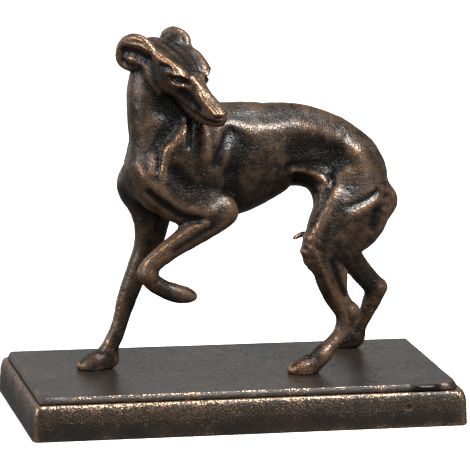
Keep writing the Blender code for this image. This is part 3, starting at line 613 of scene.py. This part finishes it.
def carve(clay):
    """The carving on the body that shows from a step away."""
    stroke(clay, [(-34, -7, 110), (-31.5, -8.5, 105), (-33, -9, 99)], -1.6, 4.5)
    stroke(clay, [(-24.5, -9, 105), (-27.1, -11.4, 100.4), (-32.4, -11.6, 94.4)], 0.6, 2.0)
    stroke(clay, [(-22.6, -8.5, 106), (-23.3, -11.6, 101.2), (-23.9, -13.1, 96.1)], -1.6, 1.1)
    stroke(clay, [(-16.8, -9.2, 103.9), (-16.5, -12.4, 98.4), (-16.7, -13.7, 92.4)], 0.9, 2.2)
    stroke(clay, [
        (-6.2, -9.3, 101.3), (-8.7, -11.7, 96.8), (-11.0, -13.2, 92.2), (-12.2, -13.7, 88.7)], -1.0, 2.0)
    stroke(clay, [(-3.5, -10, 99.5), (-2.0, -11.5, 93.8), (-5.0, -12.5, 86)], -1.0, 4.0)
    stroke(clay, [(-37.9, -9.0, 91.1), (-38.2, -11.1, 84.9)], 0.6, 1.5)
    stroke(clay, [(-31.9, -11.3, 95.9), (-33.5, -11.7, 90.3), (-34.3, -12.6, 82.3)], 0.8, 1.7)
    stroke(clay, [(-35.6, -10.5, 93), (-36.4, -11.5, 86)], -0.7, 1.3)
    stroke(clay, [(-29.5, -13, 86), (-25.1, -13.9, 80.3)], -0.8, 3.0)
    stroke(clay, [
        (-43.7, -6, 87.3), (-41.5, -9.6, 83.9), (-38.5, -11.5, 80.5), (-35.1, -12.9, 78.0),
        (-31.1, -13.6, 74.5), (-26.6, -14.4, 71.8), (-22.6, -15, 70.2), (-18.1, -15.5, 69.5),
        (-14.5, -16, 69.9)], 0.6, 2.2)
    stroke(clay, [
        (-39.3, -11.4, 77), (-33.3, -12.9, 72), (-26.4, -14.1, 67.6), (-19.2, -15.5, 65.6)], -0.8, 1.5)
    stroke(clay, [(-6.1, -12.5, 83.8), (-5.6, -11.7, 77.4)], -1.0, 3.0)
    stroke(clay, [(24, -8, 93), (33, -6.5, 93), (40, -6.5, 90)], -1.6, 6.0)
    stroke(clay, [
        (-16, -9.5, 104.5), (-9, -9.3, 104.2), (-1.9, -8.6, 103), (5.5, -8.8, 101.6), (12.9, -7.9, 102),
        (19.6, -6.8, 102.8), (26.1, -6, 102.2), (32.8, -5.4, 100.4), (37.6, -5.2, 98.4), (43.5, -5.8, 95),
        (48.2, -7.8, 90.8), (50.6, -9, 86)], 0.6, 3.6)
    stroke(clay, [
        (-12, -6.5, 109), (0, -6.0, 108), (14, -5.0, 108.5), (28, -4.5, 107.5), (40, -3.5, 102.5)], -0.9, 5.5)
    stroke(clay, [(22, -8, 84), (30, -7, 82), (35, -8, 79), (37, -8, 74)], 0.8, 1.6)
    stroke(clay, [(19, -8.1, 86), (28, -7.2, 87), (35.5, -6.2, 85.5)], -0.7, 1.8)
    stroke(clay, [
        (43.8, -9.1, 83.3), (41.2, -8.8, 80.5), (38.9, -11, 76.3), (36.8, -12.9, 71.3), (34.2, -13.7, 66.5),
        (31.4, -14, 61.6), (28.6, -13.9, 57)], 0.6, 2.5)
    stroke(clay, [(38, -7.9, 79.8), (34.4, -11, 74.2), (31.2, -11.9, 69.1), (28.2, -12.1, 63.3)], -0.8, 1.6)
    stroke(clay, [(44.5, -14.5, 70), (50.3, -13.4, 72), (53.9, -12.4, 73.8), (56.7, -11.3, 75.6)], -0.8, 1.5)
    stroke(clay, [(46.2, -14.7, 67.7), (50.7, -13.7, 69.5), (54.8, -12.7, 71.3)], 0.6, 2.8)
    stroke(clay, [(56.2, -12.8, 67.5), (55, -13.3, 61.7)], -1.0, 2.6)
    stroke(clay, [
        (28.5, -14.5, 53), (30.9, -15.5, 49), (34.5, -14.8, 41.5), (38.5, -13.8, 34), (42.4, -12.9, 27.3),
        (44.9, -12.8, 20.7)], 0.5, 1.2)
    stroke(clay, [(37, -15.5, 47.1), (40.7, -14.1, 39.1), (44.2, -12.5, 32.5)], -0.8, 1.3)
    stroke(clay, [
        (-40.8, -14.5, 48.8), (-36, -15, 53.3), (-29.2, -15.5, 58.4), (-23.3, -16, 62),
        (-17, -16.6, 65)], 0.5, 1.3)
    stroke(clay, [(-29.5, -16.2, 54), (-21.5, -16.6, 59.4), (-14, -16.8, 63.4)], -0.4, 1.4)
    for toe, ahead, left in (
            ((-56.5, 5.0, 7.6), (-1.0, -0.04), (0.0, 1.0)), ((29.0, -12.4, 7.2), (-1.0, 0.03), (0.0, 1.0)),
            ((56.5, 26.2, 7.0), (-0.9, 0.3), (0.3, 0.9))):
        for off in (-2.4, 0.0, 2.4):
            line = []
            for run, drop in ((0.0, 0.0), (3.6, 1.6), (6.4, 4.4)):
                x = toe[0] + ahead[0] * run + left[0] * off * (1.0 - run / 20)
                y = toe[1] + ahead[1] * run + left[1] * off * (1.0 - run / 20)
                line.append((x, y, toe[2] - drop))
            stroke(clay, line, -0.8, 0.6)
    for off in (-2.0, 0.4, 2.6):
        stroke(clay, [
            (-25.5, -10.4 + off, 38.3), (-22.5, -10.1 + off, 37.0), (-19.6, -10 + off, 34.6)], -0.7, 0.6)


# Casting of the dog: the pattern's shape in iron, with the slight unevenness of a sand mould, painted
# dark brown and rubbed with bronze on whatever stands proud. Its paws are fixed to the plinth's top.

DOG_TRIANGLES = 190000
# The soles sit just under the plinth's top, and the rest of the dog is lifted clear of it
SOLE_HEIGHT = 17.25
DOG_LIFT = 17.65
TAIL_TIP = (26.0, -3.0, 55.5)


def softened(block, reach):
    """The block blurred over about the given number of cells each way."""
    for axis in (0, 1, 2):
        for _ in (1, 2):
            pad = [(0, 0)] * 3
            pad[axis] = (reach + 1, reach)
            total = np.cumsum(np.pad(block, pad, mode="edge"), axis=axis, dtype=np.float64)
            size = block.shape[axis]
            high = np.take(total, range(2 * reach + 1, 2 * reach + 1 + size), axis=axis)
            low = np.take(total, range(0, size), axis=axis)
            block = ((high - low) / (2 * reach + 1)).astype(np.float32)
    return block


def proud(clay, places, width):
    """How far each place stands proud of what is around it: above zero on a ridge, below in a hollow."""
    block = softened(np.clip(clay.field / width, -1.0, 1.0), int(round(width / clay.step)))
    spot = (places - [axis[0] for axis in clay.axes]) / clay.step
    cell = np.clip(np.floor(spot).astype(int), 0, np.array(block.shape) - 2)
    part = spot - cell
    height = np.zeros(len(places))
    for corner in product((0, 1), repeat=3):
        share = np.prod(np.where(corner, part, 1.0 - part), axis=1)
        x, y, z = (cell + corner).T
        height += share * block[x, y, z]
    return height


def dog_casting():
    """The dog's surface drawn from the clay, with its soles flat, and how each part of it is worn."""
    clay = Clay(CLAY_LOW, CLAY_HIGH, CLAY_STEP)
    model_body(clay)
    model_forelegs(clay)
    model_hind_legs(clay)
    model_tail(clay)
    model_head(clay)
    carve(clay)
    clay.field = np.maximum(clay.field, -clay.axes[2][None, None, :])
    grid = openvdb.FloatGrid(3.0)
    grid.copyFromArray(np.clip(clay.field / clay.step, -3.0, 3.0).astype(np.float32), tolerance=0.0)
    points, _, faces = grid.convertToPolygons(isovalue=0.0, adaptivity=0.0)
    points = points * clay.step + np.array([axis[0] for axis in clay.axes])
    mesh = bpy.data.meshes.new("greyhound_casting")
    mesh.from_pydata(points.tolist(), [], faces.tolist())
    piece = bpy.data.objects.new("greyhound_casting", mesh)
    bpy.context.scene.collection.objects.link(piece)
    fewer = piece.modifiers.new("fewer faces", "DECIMATE")
    fewer.ratio = min(1.0, DOG_TRIANGLES / (2.0 * len(faces)))
    piece.data = bpy.data.meshes.new_from_object(piece.evaluated_get(bpy.context.evaluated_depsgraph_get()))
    piece.modifiers.clear()
    mesh = piece.data
    places = np.empty(len(mesh.vertices) * 3, np.float32)
    mesh.vertices.foreach_get("co", places)
    places = places.reshape(-1, 3).astype(float)
    away = np.empty(len(mesh.vertices) * 3, np.float32)
    mesh.vertices.foreach_get("normal", away)
    away = away.reshape(-1, 3)

    # Wear: most on the ridges, patchy down the legs, least at the tail's tip; painted shade on the far legs
    fine, broad, wide = [proud(clay, places, width) for width in (1.0, 2.5, 6.0)]
    tail_tip = np.exp(-(((places - TAIL_TIP) / (7.0, 3.5, 3.0)) ** 2).sum(1))
    legs = np.clip((52.0 - places[:, 2]) / 20.0, 0.0, 1.0)
    far_side_shade = np.clip((places[:, 1] - 3.0) / 8.0, 0.0, 1.0)
    patches = 0.40 * lumps(places * (1.0, 1.0, 0.5), 6.0, 15)
    rubbed = 2.4 * fine + 0.9 * broad + 0.1 * wide - 0.10
    # Less bronze on the far side of the legs is painted shade
    rubbed += legs * (patches - 0.22 - 0.10 * far_side_shade) - 0.9 * tail_tip
    # Dark paint in the hollows, deepened into painted shade in broad hollows such as under the belly
    dark_paint_and_shade = -1.2 * fine - 1.6 * broad - 1.6 * (wide - 0.12)

    # Bronze along each carved ridge, and dark paint with painted shade in each furrow
    for run, height, width in clay.tool_marks:
        reach = 2.0 * width
        near = np.flatnonzero(((places > run.min(0) - reach) & (places < run.max(0) + reach)).all(1))
        gap = np.full(len(near), 1e6)
        for start, end in zip(run, run[1:]):
            along = end - start
            part = np.clip((places[near] - start) @ along / (along @ along + 1e-9), 0.0, 1.0)
            gap = np.minimum(gap, ((places[near] - start - part[:, None] * along) ** 2).sum(1))
        share = min(abs(height), 1.0) * min(1.0, 1.6 / width) * np.exp(-gap / (0.8 * width) ** 2)
        if height > 0:
            rubbed[near] += 0.45 * share
        else:
            dark_paint_and_shade[near] = np.maximum(dark_paint_and_shade[near], 0.6 * share)
            rubbed[near] -= 0.4 * share

    # Uneven skin, flat soles with a painted contact shadow round them, and the lift onto the plinth
    uneven = 0.14 * lumps(places, 5.0, 11) + 0.08 * lumps(places, 2.0, 12) + 0.05 * lumps(places, 1.3, 14)
    places = places + away * (uneven * np.clip(places[:, 2] / 1.5, 0.0, 1.0))[:, None]
    low = places[:, 2] < 0.4 * clay.step
    places[low, 2] = 0.0
    # Painted shade where the paws meet the plinth
    dark_paint_and_shade = np.maximum(dark_paint_and_shade, 0.6 - 0.5 * places[:, 2])
    sandy = np.clip(1.0 + 0.5 * lumps(places, 9.0, 13), 0.5, 1.3)
    places[:, 2] += SOLE_HEIGHT + (DOG_LIFT - SOLE_HEIGHT) * np.clip(places[:, 2] / 2.0, 0.0, 1.0)
    places = places * MILLIMETRE
    mesh.vertices.foreach_set("co", places.astype(np.float32).ravel())
    for name, values in (("rubbed", rubbed), ("dark_paint_and_shade", np.clip(dark_paint_and_shade, 0.0, 1.0)), ("sandy", sandy)):
        mesh.attributes.new(name, "FLOAT", "POINT").data.foreach_set("value", values.astype(np.float32))
    mesh.shade_smooth()
    mesh.update()
    return piece


greyhound = dog_casting()
greyhound.data.materials.append(painted_iron(
    "rubbed brown dog paint with painted shade", paint=(0.010, 0.0068, 0.005), bronze=(0.36, 0.205, 0.115),
    rub_start=0.30, rub_end=0.95, speckle=2.6, pitting=0.8, browning=1.0, roughness=0.29,
    grain_depth=0.00018))
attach(greyhound, "root")
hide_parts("greyhound")

# Studio: a plain white floor, a large soft lamp high in front, one on the left, and weaker ones above,
# on the right and behind. The camera stands where the photograph was taken from, with a long lens.

FLOOR_REACH = 4.0
LAMP_AIM = (0.0, 0.0, 0.08)
CAMERA_PLACE = (-0.31533, -1.21402, 0.35813)

floor_corners = [(FLOOR_REACH * x, FLOOR_REACH * y, 0.0) for x, y in ((-1, -1), (1, -1), (1, 1), (-1, 1))]
floor_mesh = bpy.data.meshes.new("studio_floor")
floor_mesh.from_pydata(floor_corners, [], [(0, 1, 2, 3)])
studio_floor = bpy.data.objects.new("studio_floor", floor_mesh)
bpy.context.scene.collection.objects.link(studio_floor)
floor_paint = bpy.data.materials.new("white floor")
floor_paint.use_nodes = True
floor_sockets = floor_paint.node_tree.nodes["Principled BSDF"].inputs
floor_sockets["Base Color"].default_value = (0.90, 0.90, 0.90, 1.0)
floor_sockets["Roughness"].default_value = 0.9
floor_sockets["Specular IOR Level"].default_value = 0.0
floor_sockets["Emission Color"].default_value = (1.0, 1.0, 1.0, 1.0)
floor_sockets["Emission Strength"].default_value = 0.75
studio_floor.visible_diffuse = False
studio_floor.visible_glossy = False
floor_mesh.materials.append(floor_paint)


def soft_lamp(name, place, size, power):
    """A square soft lamp that points at the middle of the statue."""
    data = bpy.data.lights.new(name, "AREA")
    data.size = size
    data.energy = power
    lamp = bpy.data.objects.new(name, data)
    lamp.location = place
    lamp.visible_camera = False
    away = np.array(place) - np.array(LAMP_AIM)
    away = away / np.linalg.norm(away)
    right = np.cross((0.0, 0.0, 1.0), away)
    right = right / np.linalg.norm(right)
    turned = Matrix(np.column_stack((right, np.cross(away, right), away)).tolist())
    lamp.rotation_euler = turned.to_euler()
    bpy.context.scene.collection.objects.link(lamp)


soft_lamp("large lamp", (0.35, -0.60, 1.05), 0.45, 27.0)
soft_lamp("top lamp", (0.00, 0.10, 1.25), 0.5, 4.0)
soft_lamp("left lamp", (-1.10, -0.30, 0.60), 0.7, 9.0)
soft_lamp("right lamp", (0.95, -1.10, 0.50), 0.7, 2.0)
soft_lamp("back lamp", (-0.95, 1.00, 0.35), 1.0, 4.0)
soft_lamp("far lamp", (0.20, 1.60, 0.42), 1.0, 1.5)

world = bpy.data.worlds.new("white studio")
world.use_nodes = True
world.node_tree.nodes["Background"].inputs["Color"].default_value = (1.0, 1.0, 1.0, 1.0)
world.node_tree.nodes["Background"].inputs["Strength"].default_value = 0.15
bpy.context.scene.world = world
bpy.context.scene.view_settings.view_transform = "Standard"

camera_data = bpy.data.cameras.new("camera")
camera_data.sensor_width = 36.0
camera_data.lens = 239.64
camera_data.clip_start = 0.05
camera = bpy.data.objects.new("camera", camera_data)
camera_right = (0.96925, -0.24406, 0.03153)
camera_up = (0.02424, 0.22220, 0.97470)
camera_back = (-0.24489, -0.94396, 0.22129)
camera.matrix_world = Matrix([
    (camera_right[axis], camera_up[axis], camera_back[axis], spot)
    for axis, spot in enumerate(CAMERA_PLACE)] + [(0.0, 0.0, 0.0, 1.0)])
bpy.context.scene.collection.objects.link(camera)
bpy.context.scene.camera = camera
